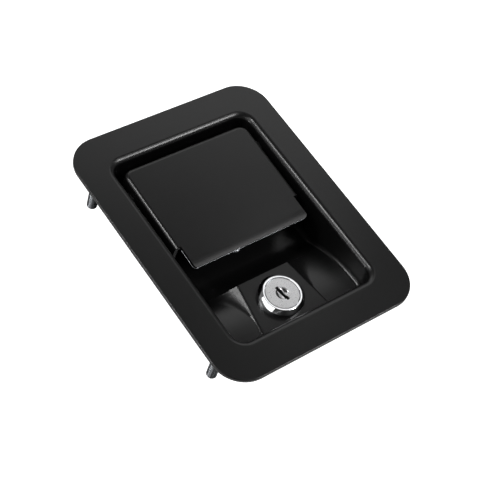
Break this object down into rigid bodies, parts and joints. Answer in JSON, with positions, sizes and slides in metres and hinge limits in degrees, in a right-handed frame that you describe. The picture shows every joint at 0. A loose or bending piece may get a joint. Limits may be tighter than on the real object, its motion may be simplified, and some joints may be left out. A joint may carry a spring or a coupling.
{
  "type": "enclosure door lock",
  "caption": "Flush paddle latch with a black drawn pan, a hinged paddle, a slam bolt behind it and a round key lock on a raised boss.",
  "frame": {"origin": "centre of the four studs, on the back face of the flange where the door panel lies", "axes": "+Z points out of the door, +Y along the flange's longer side towards the paddle's hinge, +X to the right seen from outside"},
  "size_m": [0.108, 0.14, 0.06],
  "materials": {
    "powder_coat": "satin black powder coat",
    "zinc_plate": "bright zinc plate",
    "cast_zinc": "tumbled casting",
    "spring_steel": "drawn wire",
    "black_nylon": "matt",
    "chrome": "polished",
    "satin_chrome": "satin"
  },
  "bodies": {
    "root": {"housing": "powder_coat", "weld_studs": "zinc_plate", "pivot_pin": "zinc_plate", "pin_clip": "spring_steel", "pivot_spacer_left": "black_nylon", "pivot_spacer_right": "black_nylon", "return_spring": "spring_steel", "guide_bracket": "zinc_plate", "keeper_strap": "zinc_plate", "mechanism_rivets": "zinc_plate", "bolt_spring": "spring_steel", "lock_barrel": "chrome", "lock_washer": "zinc_plate", "lock_nut": "zinc_plate"},
    "paddle_body": {"paddle": "powder_coat", "release_arm": "zinc_plate"},
    "bolt_body": {"latch_bolt": "cast_zinc", "bolt_rod": "zinc_plate"},
    "lock_core": {"lock_plug": "satin_chrome", "lock_cam": "zinc_plate", "cam_washer": "zinc_plate", "cam_screw": "zinc_plate"}
  },
  "joints": [
    {"name": "paddle_pull", "type": "hinge", "parent": "root", "child": "paddle_body", "pos_m": [0, 0.037, -0.01], "axis": [-1, 0, 0], "range_deg": [0, 23], "stiffness_Nm_per_rad": 0.35, "springref_deg": -34.38, "deforming": ["return_spring"]},
    {"name": "bolt_slide", "type": "slide", "parent": "root", "child": "bolt_body", "axis": [0, -1, 0], "range_m": [0, 0.0149], "stiffness_N_per_m": 100, "springref_m": -0.012, "deforming": ["bolt_spring"]},
    {"name": "key_turn", "type": "hinge", "parent": "root", "child": "lock_core", "pos_m": [0, -0.0362, -0.0264], "axis": [0, 0, 1], "range_deg": [0, 90]}
  ],
  "couplings": [
    {"joint": "bolt_slide", "follows": "paddle_pull", "m_per_rad": 0.03699}
  ]
}
